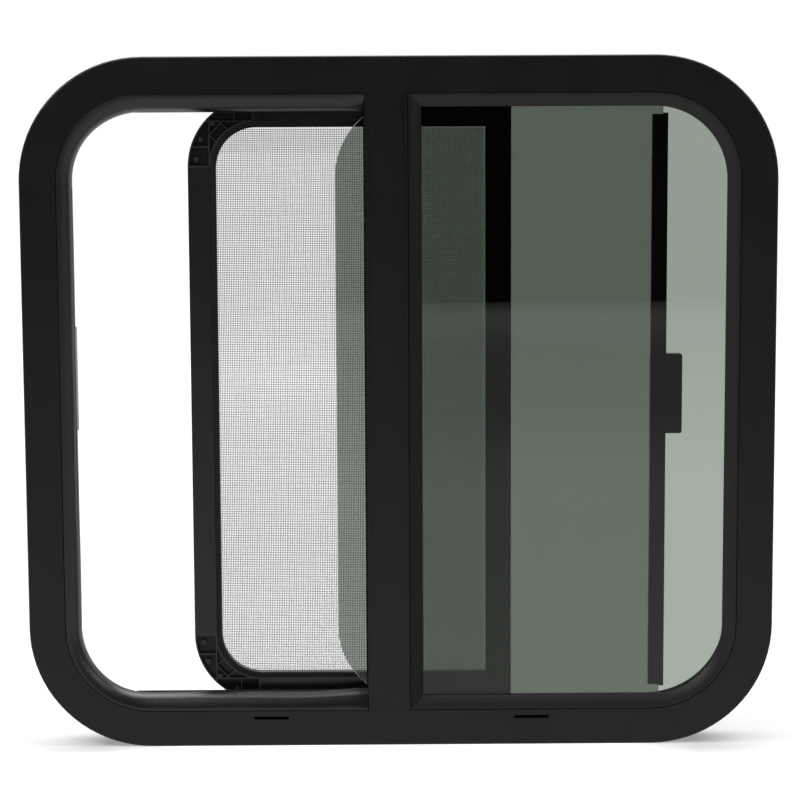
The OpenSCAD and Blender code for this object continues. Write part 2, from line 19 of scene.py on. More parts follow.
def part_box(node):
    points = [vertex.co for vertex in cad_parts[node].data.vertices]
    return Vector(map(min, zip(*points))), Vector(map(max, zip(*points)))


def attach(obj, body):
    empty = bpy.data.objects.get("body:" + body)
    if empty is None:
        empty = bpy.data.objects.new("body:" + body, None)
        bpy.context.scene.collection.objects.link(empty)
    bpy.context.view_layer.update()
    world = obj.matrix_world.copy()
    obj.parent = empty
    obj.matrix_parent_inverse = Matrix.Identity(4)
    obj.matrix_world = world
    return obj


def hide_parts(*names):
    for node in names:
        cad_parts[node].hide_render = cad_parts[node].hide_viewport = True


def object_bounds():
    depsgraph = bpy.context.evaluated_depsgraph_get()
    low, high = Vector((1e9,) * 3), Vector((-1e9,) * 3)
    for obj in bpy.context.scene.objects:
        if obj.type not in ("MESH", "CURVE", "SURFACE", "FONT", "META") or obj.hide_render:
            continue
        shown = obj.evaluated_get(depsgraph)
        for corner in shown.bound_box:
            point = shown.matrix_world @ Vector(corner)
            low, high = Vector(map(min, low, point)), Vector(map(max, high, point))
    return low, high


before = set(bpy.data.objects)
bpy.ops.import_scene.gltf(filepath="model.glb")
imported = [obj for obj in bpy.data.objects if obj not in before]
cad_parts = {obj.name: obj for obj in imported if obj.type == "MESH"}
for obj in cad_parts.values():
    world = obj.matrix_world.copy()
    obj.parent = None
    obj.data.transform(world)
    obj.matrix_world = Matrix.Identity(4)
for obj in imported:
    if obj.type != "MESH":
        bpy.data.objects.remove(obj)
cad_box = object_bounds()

Colour = tuple[float, float, float, float]
Point = tuple[float, float]
MM = 0.001
BODY = "root"
WEAVE_PITCH = 1.55 * MM
WHITE = (1.0, 1.0, 1.0, 1.0)
FLIP_X = Vector((-1.0, 1.0, 1.0))
FIXED_PANE_SETBACK = 34.6 * MM
SASH_CORNER_R = 68 * MM

log = logging.getLogger("caravan_window")


class Ray(Enum):
    """The kinds of ray that the floor and the world tell apart."""

    CAMERA = "Is Camera Ray"
    MIRRORED = "Glossy Depth"
    TRANSMISSION = "Is Transmission Ray"


class Weave(Enum):
    """The two directions of the insect mesh's strands."""

    UPRIGHT = "upright"
    LEVEL = "level"


# Shader nodes


class Tree:
    """Adds nodes to one node tree and joins them."""

    def __init__(self, tree: bpy.types.NodeTree) -> None:
        """Keeps the node tree of a material, a world or a group, and empties it."""
        self.tree = tree
        self.tree.nodes.clear()

    def add(self, kind: str, **values: object) -> bpy.types.Node:
        """Adds one node.

        Args:
            kind: The node's type, without the leading ShaderNode.
            **values: Properties of the node by name, or sockets by number as in s0=1.0.

        Returns:
            The new node.
        """
        node = self.tree.nodes.new("ShaderNode" + kind)
        for key, value in values.items():
            if key[0] == "s" and key[1:].isdigit():
                self.feed(value, node.inputs[int(key[1:])])
            else:
                setattr(node, key, value)
        return node

    def feed(self, value: object, socket: bpy.types.NodeSocket) -> None:
        """Gives a socket a constant, or joins another node's socket to it.

        Args:
            value: A number, a colour or an output socket.
            socket: The input socket that gets it.
        """
        if isinstance(value, bpy.types.NodeSocket):
            self.tree.links.new(value, socket)
        else:
            socket.default_value = value

    def maths(self, operation: str, first: object, second: object = 0.0) -> bpy.types.NodeSocket:
        """Adds a Math node for two numbers or sockets, and returns its result's socket."""
        return self.add("Math", operation=operation, s0=first, s1=second).outputs[0]

    def between(self, amount: object, low: object, high: object) -> bpy.types.NodeSocket:
        """Mixes two colours, of which amount 0 gives low and 1 gives high, and returns the socket."""
        return self.add("Mix", data_type="RGBA", s0=amount, s6=low, s7=high).outputs[2]

    def spread(
        self, value: object, low: float, high: float, start: float, end: float
    ) -> bpy.types.NodeSocket:
        """Maps the range low to high onto start to end, clamped, and returns the socket."""
        return self.add("MapRange", s0=value, s1=low, s2=high, s3=start, s4=end).outputs[0]

    def choose(self, switch: object, off: object, on: object) -> bpy.types.NodeSocket:
        """Adds a value that is off where the switch is 0 and on where it is 1, and returns the socket."""
        return self.add("Mix", data_type="FLOAT", s0=switch, s2=off, s3=on).outputs[0]

    def ray(self, kind: Ray) -> bpy.types.NodeSocket:
        """Adds the socket that is 1 for one kind of ray and 0 for the others, and returns it."""
        return self.maths("MINIMUM", self.add("LightPath").outputs[kind.value], 1.0)

    def place(self) -> bpy.types.NodeSocket:
        """Adds the surface point in metres, and returns its socket."""
        return self.add("TexCoord").outputs["Object"]

    def noise(self, scale: object, detail: float = 2.0, where: object = None) -> bpy.types.NodeSocket:
        """Adds a noise texture.

        Args:
            scale: Blobs per metre.
            detail: Number of finer layers.
            where: The point at which it is read, or None for the surface point.

        Returns:
            The noise value's socket.
        """
        node = self.add("TexNoise")
        spot = self.place() if where is None else where
        self.settle(node, {"Vector": spot, "Scale": scale, "Detail": detail})
        return node.outputs[0]

    def bump(self, height: object, distance: float, strength: float = 1.0) -> bpy.types.NodeSocket:
        """Turns a height into a normal.

        Args:
            height: The height's socket.
            distance: Metres for a height of 1.
            strength: Share of the effect that is used.

        Returns:
            The normal's socket.
        """
        node = self.add("Bump")
        self.settle(node, {"Strength": strength, "Distance": distance, "Height": height})
        return node.outputs[0]

    def settle(self, node: bpy.types.Node, values: dict[str, object]) -> None:
        """Feeds a node's inputs by name with constants or sockets."""
        for name, value in values.items():
            self.feed(value, node.inputs[name])

    def effect(self, group: bpy.types.NodeTree, **values: float) -> bpy.types.NodeSocket:
        """Adds a shared effect.

        Args:
            group: The effect's node group.
            **values: The group's inputs by name.

        Returns:
            The effect's socket.
        """
        node = self.add("Group", node_tree=group)
        self.settle(node, values)
        return node.outputs[0]


class EffectGroups:
    """The node groups that several finishes share, each built once."""

    coarse_share: float = 0.22
    patch_scale: float = 22.0

    def __init__(self) -> None:
        """Starts with no group built."""
        self.built: dict[str, bpy.types.NodeTree] = {}

    def start(
        self, name: str, inputs: dict[str, float], output: str
    ) -> tuple[Tree, bpy.types.Node, bpy.types.Node]:
        """Makes an empty group with its sockets.

        Args:
            name: The group's name.
            inputs: Each input's name and usual value.
            output: The output's name.

        Returns:
            The group's tree, its input node and its output node.
        """
        group = bpy.data.node_groups.new(name, "ShaderNodeTree")
        for label, usual in inputs.items():
            socket = group.interface.new_socket(label, in_out="INPUT", socket_type="NodeSocketFloat")
            socket.default_value = usual
        group.interface.new_socket(output, in_out="OUTPUT", socket_type="NodeSocketFloat")
        self.built[name] = group
        tree = Tree(group)
        return tree, group.nodes.new("NodeGroupInput"), group.nodes.new("NodeGroupOutput")

    def fine_grain(self) -> bpy.types.NodeTree:
        """Builds the fine grain of sprayed coats and moulded surfaces, as a height.

        Returns:
            The group, with the inputs Scale and Coarse and the output Height.
        """
        if "fine_grain" not in self.built:
            tree, into, out = self.start("fine_grain", {"Scale": 1500.0, "Coarse": 0.4}, "Height")
            coarse_scale = tree.maths("MULTIPLY", into.outputs["Scale"], self.coarse_share)
            fine = tree.noise(into.outputs["Scale"], 2.0)
            coarse = tree.noise(coarse_scale, 1.0)
            scaled = tree.maths("MULTIPLY", coarse, into.outputs["Coarse"])
            tree.feed(tree.maths("ADD", fine, scaled), out.inputs[0])
        return self.built["fine_grain"]

    def soft_mottle(self) -> bpy.types.NodeTree:
        """Builds the broad patches in which a surface's gloss changes.

        Returns:
            The group, with the inputs Scale, Low and High and the output Value.
        """
        if "soft_mottle" not in self.built:
            tree, into, out = self.start("soft_mottle", {"Scale": 14.0, "Low": 0.3, "High": 0.4}, "Value")
            patches = tree.noise(into.outputs["Scale"], 3.0)
            share = tree.spread(patches, 0.3, 0.7, 0.0, 1.0)
            width = tree.maths("SUBTRACT", into.outputs["High"], into.outputs["Low"])
            above = tree.maths("MULTIPLY", share, width)
            tree.feed(tree.maths("ADD", above, into.outputs["Low"]), out.inputs[0])
        return self.built["soft_mottle"]

    def dust_veil(self) -> bpy.types.NodeTree:
        """Builds the thin dust that lies on faces that look up, and in specks elsewhere.

        Returns:
            The group, with the inputs Amount and Scale and the output Mask.
        """
        if "dust_veil" not in self.built:
            tree, into, out = self.start("dust_veil", {"Amount": 0.1, "Scale": 900.0}, "Mask")
            upward = tree.add("SeparateXYZ", s0=tree.add("NewGeometry").outputs["Normal"]).outputs["Z"]
            lying = tree.spread(upward, 0.2, 1.0, 0.15, 1.0)
            specks = tree.spread(tree.noise(into.outputs["Scale"], 3.0), 0.55, 0.75, 0.1, 1.0)
            patches = tree.spread(tree.noise(self.patch_scale, 3.0), 0.35, 0.7, 0.2, 1.0)
            both = tree.maths("MULTIPLY", specks, patches)
            mask = tree.maths("MULTIPLY", tree.maths("MULTIPLY", both, lying), into.outputs["Amount"])
            tree.feed(mask, out.inputs[0])
        return self.built["dust_veil"]


EFFECTS = EffectGroups()
SHELF: dict[str, bpy.types.Material] = {}


# Finishes


@dataclass(frozen=True)
class Finish:
    """A surface finish, built once as a material."""

    name: str

    def build(self) -> bpy.types.Material:
        """Builds the material, or returns it if it is on the shelf already.

        Returns:
            The material.
        """
        if self.name in SHELF:
            return SHELF[self.name]
        material = bpy.data.materials.new(self.name)
        SHELF[self.name] = material
        material.use_nodes = True
        tree = Tree(material.node_tree)
        output = tree.add("OutputMaterial")
        shader = tree.add("BsdfPrincipled")
        tree.feed(shader.outputs[0], output.inputs["Surface"])
        self.fill(tree, shader)
        return material

    def fill(self, tree: Tree, shader: bpy.types.Node) -> None:
        """Sets the sockets of the material's Principled shader, as each finish does in its own way."""
        raise NotImplementedError


@dataclass(frozen=True)
class DarkSurface(Finish):
    """A dark coated, moulded or extruded surface with fine grain, uneven gloss and a little dust."""

    colour: Colour = (0.01, 0.01, 0.0095, 1.0)
    dust_colour: Colour = (0.22, 0.21, 0.19, 1.0)
    gloss_low: float = 0.3
    gloss_high: float = 0.4
    mottle_scale: float = 14.0
    grain_scale: float = 1500.0
    grain_coarse: float = 0.4
    grain_depth: float = 0.00001
    dust: float = 0.08
    specular: float = 0.5

    def fill(self, tree: Tree, shader: bpy.types.Node) -> None:
        """Sets colour, gloss, grain and dust.

        Args:
            tree: The material's tree.
            shader: Its Principled shader.
        """
        dust = tree.effect(EFFECTS.dust_veil(), Amount=self.dust)
        gloss = tree.effect(
            EFFECTS.soft_mottle(), Scale=self.mottle_scale, Low=self.gloss_low, High=self.gloss_high
        )
        grain = tree.effect(EFFECTS.fine_grain(), Scale=self.grain_scale, Coarse=self.grain_coarse)
        wear = {
            "Base Color": tree.between(dust, self.colour, self.dust_colour),
            "Roughness": gloss,
            "Normal": tree.bump(grain, self.grain_depth),
            "Specular IOR Level": self.specular,
        }
        tree.settle(shader, wear)


@dataclass(frozen=True)
class RibbedMoulding(DarkSurface):
    """A moulding whose rib tops are painted paler as painted light, so that its pockets stay dark as
    painted shade.
    """

    # Painted light: the paler colour of the rib tops, how far behind the front face it reaches, and its
    # uneven patches.
    painted_light_colour: Colour = (0.022, 0.022, 0.021, 1.0)
    front_y: float = 0.0
    painted_light_depth: float = 0.5 * MM
    light_patch_scale: float = 70.0
    least_painted_light: float = 0.6

    def fill(self, tree: Tree, shader: bpy.types.Node) -> None:
        """Sets the dark surface, and then paints a paler colour onto the faces in front, as painted light
        on the rib tops and painted shade in the pockets.

        Args:
            tree: The material's tree.
            shader: Its Principled shader.
        """
        super().fill(tree, shader)
        below = shader.inputs["Base Color"].links[0].from_socket
        depth = tree.add("SeparateXYZ", s0=tree.place()).outputs["Y"]
        # Painted light: faces just behind the front face take the paler colour in uneven patches, and the
        # deeper pockets keep the dark colour as painted shade.
        top = tree.spread(depth, self.front_y, self.front_y + self.painted_light_depth, 1.0, 0.0)
        uneven_light = tree.spread(tree.noise(self.light_patch_scale, 3.0), 0.3, 0.7, self.least_painted_light, 1.0)
        share = tree.maths("MULTIPLY", top, uneven_light)
        tree.feed(tree.between(share, below, self.painted_light_colour), shader.inputs["Base Color"])


@dataclass(frozen=True)
class MillAluminium(Finish):
    """Bare extruded aluminium with fine lines along Z and a dull bloom."""

    colour: Colour = (0.86, 0.87, 0.88, 1.0)
    bloom_colour: Colour = (0.74, 0.75, 0.76, 1.0)
    line_scale: float = 2600.0
    line_stretch: float = 0.02
    line_depth: float = 0.00002
    bloom_scale: float = 60.0
    gloss_scale: float = 40.0
    gloss_low: float = 0.34
    gloss_high: float = 0.5
    metallic: float = 0.3

    def fill(self, tree: Tree, shader: bpy.types.Node) -> None:
        """Sets the drawn lines, the bloom and the metal.

        Args:
            tree: The material's tree.
            shader: Its Principled shader.
        """
        stretched = tree.add("Mapping", s0=tree.place())
        stretched.inputs["Scale"].default_value = (1.0, 1.0, self.line_stretch)
        lines = tree.noise(self.line_scale, 3.0, stretched.outputs[0])
        bloom = tree.spread(tree.noise(self.bloom_scale, 3.0), 0.35, 0.7, 0.0, 0.7)
        gloss = tree.effect(
            EFFECTS.soft_mottle(), Scale=self.gloss_scale, Low=self.gloss_low, High=self.gloss_high
        )
        metal = {
            "Base Color": tree.between(bloom, self.colour, self.bloom_colour),
            "Roughness": gloss,
            "Normal": tree.bump(lines, self.line_depth, 0.5),
            "Metallic": self.metallic,
        }
        tree.settle(shader, metal)


@dataclass(frozen=True)
class TintedPane(Finish):
    """Tempered glass with a green-grey tint and the faint waves that the furnace rollers leave."""

    colour: Colour = (0.35, 0.405, 0.35, 1.0)
    wave_scale: float = 5.0
    wave_depth: float = 0.00004
    refraction: float = 1.5
    specular: float = 0.22
    smear_scale: float = 18.0
    smear_gloss: float = 0.012

    def fill(self, tree: Tree, shader: bpy.types.Node) -> None:
        """Sets the tint, the waves and a clear transmission.

        Args:
            tree: The material's tree.
            shader: Its Principled shader.
        """
        glass = {
            "Base Color": self.colour,
            "Transmission Weight": 1.0,
            "IOR": self.refraction,
            "Specular IOR Level": self.specular,
            "Roughness": tree.spread(tree.noise(self.smear_scale, 4.0), 0.5, 0.8, 0.0, self.smear_gloss),
            "Normal": tree.bump(tree.noise(self.wave_scale, 1.0), self.wave_depth),
        }
        tree.settle(shader, glass)


@dataclass(frozen=True)
class GroundEdge(Finish):
    """The ground and polished edge of a pane, which gathers light."""

    colour: Colour = (0.62, 0.7, 0.66, 1.0)
    dark_colour: Colour = (0.3, 0.36, 0.33, 1.0)
    streak_scale: float = 240.0
    grinding_scale: float = 1800.0
    grinding_depth: float = 0.00002
    clearness: float = 0.45

    def fill(self, tree: Tree, shader: bpy.types.Node) -> None:
        """Sets the frosty edge with its grinding lines.

        Args:
            tree: The material's tree.
            shader: Its Principled shader.
        """
        streaks = tree.spread(tree.noise(self.streak_scale, 3.0), 0.35, 0.7, 0.0, 1.0)
        frost = {
            "Base Color": tree.between(streaks, self.colour, self.dark_colour),
            "Normal": tree.bump(tree.noise(self.grinding_scale, 2.0), self.grinding_depth, 0.6),
            "Roughness": tree.spread(streaks, 0.0, 1.0, 0.22, 0.38),
            "Transmission Weight": self.clearness,
        }
        tree.settle(shader, frost)


@dataclass(frozen=True)
class PileFibre(Finish):
    """Short dense pile on a backing strip."""

    colour: Colour = (0.003, 0.003, 0.003, 1.0)
    tip_colour: Colour = (0.012, 0.012, 0.012, 1.0)
    fibre_scale: float = 4200.0
    fibre_depth: float = 0.00025

    def fill(self, tree: Tree, shader: bpy.types.Node) -> None:
        """Sets the fibres and their pale tips.

        Args:
            tree: The material's tree.
            shader: Its Principled shader.
        """
        fibres = tree.noise(self.fibre_scale, 2.0)
        tips = tree.spread(fibres, 0.5, 0.75, 0.0, 1.0)
        pile = {
            "Base Color": tree.between(tips, self.colour, self.tip_colour),
            "Normal": tree.bump(fibres, self.fibre_depth),
            "Roughness": 0.95,
            "Specular IOR Level": 0.1,
            "Sheen Weight": 0.05,
        }
        tree.settle(shader, pile)


@dataclass(frozen=True)
class MeshYarn(Finish):
    """Coated glass-fibre yarn of the insect mesh."""

    colour: Colour = (0.035, 0.035, 0.036, 1.0)
    pale_colour: Colour = (0.07, 0.07, 0.072, 1.0)
    patch_scale: float = 130.0
    grain_scale: float = 3000.0
    grain_depth: float = 0.00002

    def fill(self, tree: Tree, shader: bpy.types.Node) -> None:
        """Sets the yarn's uneven grey and its satin coat.

        Args:
            tree: The material's tree.
            shader: Its Principled shader.
        """
        uneven = tree.spread(tree.noise(self.patch_scale, 3.0), 0.35, 0.65, 0.0, 1.0)
        yarn = {
            "Base Color": tree.between(uneven, self.colour, self.pale_colour),
            "Normal": tree.bump(tree.noise(self.grain_scale, 1.0), self.grain_depth),
            "Roughness": tree.spread(uneven, 0.0, 1.0, 0.5, 0.65),
            "Specular IOR Level": 0.3,
        }
        tree.settle(shader, yarn)


@dataclass(frozen=True)
class RibbedCord(Finish):
    """Soft spline cord with the mesh's weave pressed over it."""

    colour: Colour = (0.004, 0.004, 0.004, 1.0)
    yarn_colour: Colour = (0.018, 0.018, 0.018, 1.0)
    pitch: float = WEAVE_PITCH
    rib_depth: float = 0.0002

    def fill(self, tree: Tree, shader: bpy.types.Node) -> None:
        """Sets the cross ribs at the mesh's pitch.

        Args:
            tree: The material's tree.
            shader: Its Principled shader.
        """
        parts = tree.add("SeparateXYZ", s0=tree.place())
        turns = 2.0 * math.pi / self.pitch
        ribs = [
            tree.maths("SINE", tree.maths("MULTIPLY", parts.outputs[axis], turns)) for axis in ("X", "Z")
        ]
        crossing = tree.spread(tree.maths("MAXIMUM", *ribs), 0.2, 1.0, 0.0, 1.0)
        cord = {
            "Base Color": tree.between(crossing, self.colour, self.yarn_colour),
            "Normal": tree.bump(crossing, self.rib_depth),
            "Roughness": 0.6,
            "Specular IOR Level": 0.15,
        }
        tree.settle(shader, cord)


@dataclass(frozen=True)
class PaleFloor(Finish):
    """A white paper floor that keeps shadows and shows as white, also behind glass.

    The lifts are painted light that the camera alone sees: near the window and far from it, along its
    straight foot and in front of it, where it paints out the window's shadow. The glass values are the
    paper's light seen through a pane.
    """

    colour: Colour = (0.6, 0.6, 0.6, 1.0)
    unseen: Colour = (0.0, 0.0, 0.0, 1.0)
    near_lift: float = 0.13
    far_lift: float = 0.65
    lift_start: float = 0.9
    lift_full: float = 3.0
    foot_lift: float = 0.5
    foot_half_x: float = 0.19
    foot_fade: float = 0.07
    foot_half_y: float = 0.05
    front_lift: float = 0.35
    front_start: float = -0.014
    front_full: float = -0.052
    glass_near: float = 1.08
    glass_far: float = 0.9
    near_y: float = 1.4
    far_y: float = 5.0
    # What a mirrored ray finds: each band's start and end along Y, and the change of light there
    bands: tuple[tuple[float, float, float], ...] = (
        (-5.4, -4.7, 0.45),
        (-4.4, -3.6, -0.15),
        (-2.4, -1.4, 0.2),
        (-1.0, -0.3, 0.08),
        (0.05, 0.15, 0.42),
    )

    def lift(self, tree: Tree, across: object, away: object) -> bpy.types.NodeSocket:
        """Adds the light that the camera sees on top of the lit paper.

        It grows with the distance, as the lamps fall off there, and paints out the window's shadow on the
        paper in front of the window and along its straight foot.

        Args:
            tree: The material's tree.
            across: The place along X.
            away: The place along Y.

        Returns:
            The strength's socket.
        """
        spot = tree.add("CombineXYZ", s0=across, s1=away).outputs[0]
        distance = tree.add("VectorMath", operation="LENGTH", s0=spot).outputs["Value"]
        far = tree.spread(distance, self.lift_start, self.lift_full, self.near_lift, self.far_lift)
        side = tree.maths("ABSOLUTE", across)
        deep = tree.maths("ABSOLUTE", away)
        end = self.foot_half_x + self.foot_fade
        beside = tree.spread(side, self.foot_half_x, end, self.foot_lift, 0.0)
        under = tree.spread(deep, self.foot_half_y, 2 * self.foot_half_y, 1.0, 0.0)
        foot = tree.maths("MULTIPLY", beside, under)
        front = tree.spread(away, self.front_full, self.front_start, self.front_lift, 0.0)
        return tree.maths("ADD", tree.maths("ADD", far, foot), front)

    def fill(self, tree: Tree, shader: bpy.types.Node) -> None:
        """Sets the paper's colour and what each kind of ray sees of it.

        Args:
            tree: The material's tree.
            shader: Its Principled shader.
        """
        in_glass = tree.ray(Ray.TRANSMISSION)
        in_mirror = tree.ray(Ray.MIRRORED)
        either = tree.maths("MAXIMUM", in_glass, in_mirror)
        place = tree.add("SeparateXYZ", s0=tree.place()).outputs
        away = place["Y"]
        fall = tree.spread(away, self.near_y, self.far_y, self.glass_near, self.glass_far)
        fade: object = 0.0
        for start, end, change in self.bands:
            fade = tree.maths("ADD", fade, tree.spread(away, start, end, 0.0, change))
        lifted = self.lift(tree, place["X"], away)
        seen = tree.maths("MULTIPLY", tree.ray(Ray.CAMERA), lifted)
        through = tree.choose(in_glass, seen, fall)
        paper = {
            "Base Color": tree.between(either, self.colour, self.unseen),
            "Roughness": 0.9,
            "Specular IOR Level": 0.0,
            "Emission Color": WHITE,
            "Emission Strength": tree.choose(in_mirror, through, fade),
        }
        tree.settle(shader, paper)


POWDER_COAT = DarkSurface(
    "satin_powder_coat", colour=(0.0036, 0.0036, 0.0034, 1.0), gloss_low=0.3, gloss_high=0.38, specular=0.42
)
SCREEN_COAT = DarkSurface(
    "screen_coat",
    colour=(0.0026, 0.0025, 0.0022, 1.0),
    specular=0.68,
    gloss_low=0.27,
    gloss_high=0.34,
    grain_scale=2400.0,
)
BEAD_RUBBER = DarkSurface(
    "bead_vinyl", colour=(0.008, 0.008, 0.0076, 1.0), gloss_low=0.42, gloss_high=0.5, specular=0.4
)
MULLION_VINYL = DarkSurface(
    "mullion_bead_vinyl", colour=(0.005, 0.005, 0.0047, 1.0), gloss_low=0.42, gloss_high=0.5, specular=0.26
)
SEAL_RUBBER = DarkSurface(
    "bulb_rubber",
    colour=(0.004, 0.004, 0.0038, 1.0),
    gloss_low=0.31,
    gloss_high=0.38,
    grain_scale=500.0,
    grain_coarse=1.4,
    specular=0.7,
)
SOFT_RUBBER = DarkSurface("tape_foam", colour=(0.012, 0.012, 0.012, 1.0), gloss_low=0.7, gloss_high=0.85)
TRACK_PLASTIC = DarkSurface("track_nylon", colour=(0.009, 0.009, 0.009, 1.0), gloss_low=0.4, gloss_high=0.5)
MOULDED_PLASTIC = DarkSurface(
    "moulded_black", gloss_low=0.4, gloss_high=0.52, grain_scale=1900.0, grain_depth=0.00002, dust=0.1
)
CORNER_PLASTIC = RibbedMoulding(
    "ribbed_moulding",
    colour=(0.0035, 0.0035, 0.0033, 1.0),
    gloss_low=0.3,
    gloss_high=0.4,
    grain_scale=1900.0,
    dust=0.03,
    specular=0.4,
    front_y=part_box("screen_corner_upper")[0].y,
)
LATCH_PLASTIC = DarkSurface(
    "latch_plastic",
    colour=(0.0042, 0.0042, 0.004, 1.0),
    gloss_low=0.32,
    gloss_high=0.4,
    dust=0.04,
    specular=0.42,
)
BARE_ALUMINIUM = MillAluminium("mill_aluminium")
FIXED_GLASS = TintedPane("fixed_pane_glass", colour=(0.35, 0.4, 0.345, 1.0))
SASH_GLASS = TintedPane("sash_pane_glass", colour=(0.32, 0.355, 0.32, 1.0))
GLASS_EDGE = GroundEdge("ground_glass_edge")
PILE = PileFibre("pile_fibre")
INSECT_YARN = MeshYarn("mesh_yarn")
SPLINE_CORD = RibbedCord("spline_cord")
PAPER = PaleFloor("pale_paper")


# Mesh helpers


def mesh_object(
    name: str,
    points: Sequence[Vector],
    faces: Sequence[Sequence[int]],
    finishes: Sequence[Finish],
    pick: Sequence[int] = (),
    smooth_angle: float = 35.0,
) -> bpy.types.Object:
    """Makes an object from points and faces, with outward normals and smooth shading.

    Args:
        name: The object's name.
        points: The corners, in metres.
        faces: Each face's corners by number.
        finishes: The object's finishes, in slot order.
        pick: Each face's slot; empty for the first slot everywhere.
        smooth_angle: Edges sharper than this, in degrees, stay sharp.

    Returns:
        The new object.
    """
    mesh = bpy.data.meshes.new(name)
    mesh.from_pydata([tuple(point) for point in points], [], [tuple(face) for face in faces])
    for finish in finishes:
        mesh.materials.append(finish.build())
    for number, slot in enumerate(pick):
        mesh.polygons[number].material_index = slot
    build = bmesh.new()
    build.from_mesh(mesh)
    bmesh.ops.recalc_face_normals(build, faces=build.faces)
    build.to_mesh(mesh)
    build.free()
    mesh.shade_smooth()
    mesh.set_sharp_from_angle(angle=math.radians(smooth_angle))
    obj = bpy.data.objects.new(name, mesh)
    bpy.context.scene.collection.objects.link(obj)
    return obj


def tube_sides(rings: int, count: int) -> list[list[int]]:
    """Joins rings of points, listed one after another, into a tube's sides.

    Args:
        rings: The number of rings.
        count: The number of points in each ring.

    Returns:
        The faces.
    """
    faces: list[list[int]] = []
    for i in range(rings - 1):
        for j in range(count):
            k = (j + 1) % count
            faces.append([i * count + j, i * count + k, (i + 1) * count + k, (i + 1) * count + j])
    return faces


def tube_faces(rings: int, count: int) -> list[list[int]]:
    """Joins rings of points into a tube that is closed at both ends.

    Args:
        rings: The number of rings.
        count: The number of points in each ring.

    Returns:
        The faces.
    """
    last = (rings - 1) * count
    return tube_sides(rings, count) + [list(range(count)), [last + j for j in range(count)]]


def place_piece(obj: bpy.types.Object, slot: str, *nodes: str) -> bpy.types.Object:
    """Lets a piece ride on the window, in place of the CAD nodes that it stands for.

    Args:
        obj: The piece.
        slot: Not used.
        *nodes: The CAD nodes that it replaces.

    Returns:
        The piece.
    """
    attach(obj, BODY)
    if nodes:
        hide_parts(*nodes)
    return obj


def report(name: str, obj: bpy.types.Object) -> None:
    """Logs a piece's name and its number of faces.

    Args:
        name: The piece in plain words.
        obj: The piece.
    """
    log.info("%s: %s, %d faces", name, obj.name, len(obj.data.polygons))


@dataclass(frozen=True)
class Station:
    """One place along the frame's outer edge: a point, the inward direction and the way to each end."""

    x: float
    z: float
    inward: Point
    along: float
    left: float

    def at(self, reach: float, depth: float) -> Vector:
        """Returns the point that lies reach inward from the outer edge, at depth along Y."""
        return Vector((self.x + self.inward[0] * reach, depth, self.z + self.inward[1] * reach))


@dataclass(frozen=True)
class BentPath:
    """The left half of the frame's outer edge, from the sill round the jamb to the head."""

    half_w: float
    low_z: float
    high_z: float
    corner_r: float = 107 * MM
    corner_steps: int = 28
    step: float = 5 * MM

    @classmethod
    def from_frame(cls) -> "BentPath":
        """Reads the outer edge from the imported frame."""
        low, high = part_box("outer_frame")
        return cls(half_w=high.x, low_z=low.z, high_z=high.z)

    def walk(self, x_stop: float) -> list[Station]:
        """Lists the stations from the sill at x_stop, round the left jamb, to the head at x_stop.

        Args:
            x_stop: Where both runs end, along X.

        Returns:
            The stations in order.
        """
        radius = self.corner_r
        corner_x = radius - self.half_w
        upright = self.high_z - self.low_z - 2 * radius
        spots: list[tuple[float, float, Point]] = []
        run = max(2, round((x_stop - corner_x) / self.step))
        rise = max(2, round(upright / self.step))
        for i in range(run):
            spots.append((x_stop + (corner_x - x_stop) * i / run, self.low_z, (0.0, 1.0)))
        for i in range(self.corner_steps):
            turn = math.radians(270 - 90 * i / self.corner_steps)
            spots.append(self.on_corner(corner_x, self.low_z + radius, turn))
        for i in range(rise):
            spots.append((-self.half_w, self.low_z + radius + upright * i / rise, (1.0, 0.0)))
        for i in range(self.corner_steps):
            turn = math.radians(180 - 90 * i / self.corner_steps)
            spots.append(self.on_corner(corner_x, self.high_z - radius, turn))
        for i in range(run + 1):
            spots.append((corner_x + (x_stop - corner_x) * i / run, self.high_z, (0.0, -1.0)))
        along = [0.0]
        for first, second in zip(spots, spots[1:]):
            along.append(along[-1] + math.dist(first[:2], second[:2]))
        return [Station(*spot, way, along[-1] - way) for spot, way in zip(spots, along)]

    def on_corner(self, centre_x: float, centre_z: float, turn: float) -> tuple[float, float, Point]:
        """Finds a point on a round corner and its inward direction.

        Args:
            centre_x: The corner's centre along X.
            centre_z: The corner's centre along Z.
            turn: The angle from +X, in radians.

        Returns:
            The point's X and Z, and the inward direction.
        """
        out = (math.cos(turn), math.sin(turn))
        x = centre_x + self.corner_r * out[0]
        z = centre_z + self.corner_r * out[1]
        return x, z, (-out[0], -out[1])


# Sub-assemblies


